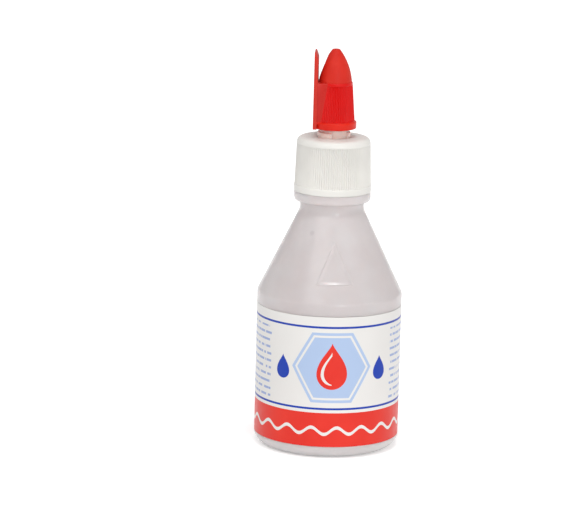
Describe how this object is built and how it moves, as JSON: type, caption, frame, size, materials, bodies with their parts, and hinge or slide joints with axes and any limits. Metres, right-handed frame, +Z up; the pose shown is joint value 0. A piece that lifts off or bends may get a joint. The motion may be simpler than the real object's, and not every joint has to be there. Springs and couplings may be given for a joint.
{
  "type": "glue squeeze bottle",
  "caption": "Translucent squeeze bottle of glue with a conical shoulder, wrap label, fluted screw closure, spout insert and a twist nozzle that carries an upright spreading blade.",
  "frame": {"origin": "on the bottle's axis, in the plane it stands on", "axes": "+Z up along the bottle's axis, -Y towards the viewer of the picture, -X towards the nozzle's blade"},
  "size_m": [0.0474, 0.0474, 0.131],
  "materials": {
    "bottle_plastic": "satin",
    "label_print": "satin",
    "glue": "gloss",
    "closure_plastic": "satin",
    "spout_plastic": "satin",
    "nozzle_plastic": "satin"
  },
  "bodies": {
    "container": {"bottle": "bottle_plastic", "wrap_label": "label_print", "glue_fill": "glue"},
    "spout": {"spout_insert": "spout_plastic"},
    "closure": {"screw_closure": "closure_plastic"},
    "nozzle": {"twist_nozzle": "nozzle_plastic"}
  },
  "joints": [
    {"name": "closure_lift", "type": "slide", "parent": "container", "child": "spout", "axis": [0, 0, 1], "range_m": [0, 0.00451]},
    {"name": "closure_turn", "type": "hinge", "parent": "spout", "child": "closure", "pos_m": [0, 0, 0.0935], "axis": [0, 0, 1], "range_deg": [0, 540]},
    {"name": "nozzle_twist", "type": "hinge", "parent": "spout", "child": "nozzle", "pos_m": [0, 0, 0.1185], "axis": [0, 0, 1], "range_deg": [0, 90]}
  ],
  "couplings": [
    {"joint": "closure_lift", "follows": "closure_turn", "m_per_rad": 0.00047746}
  ]
}
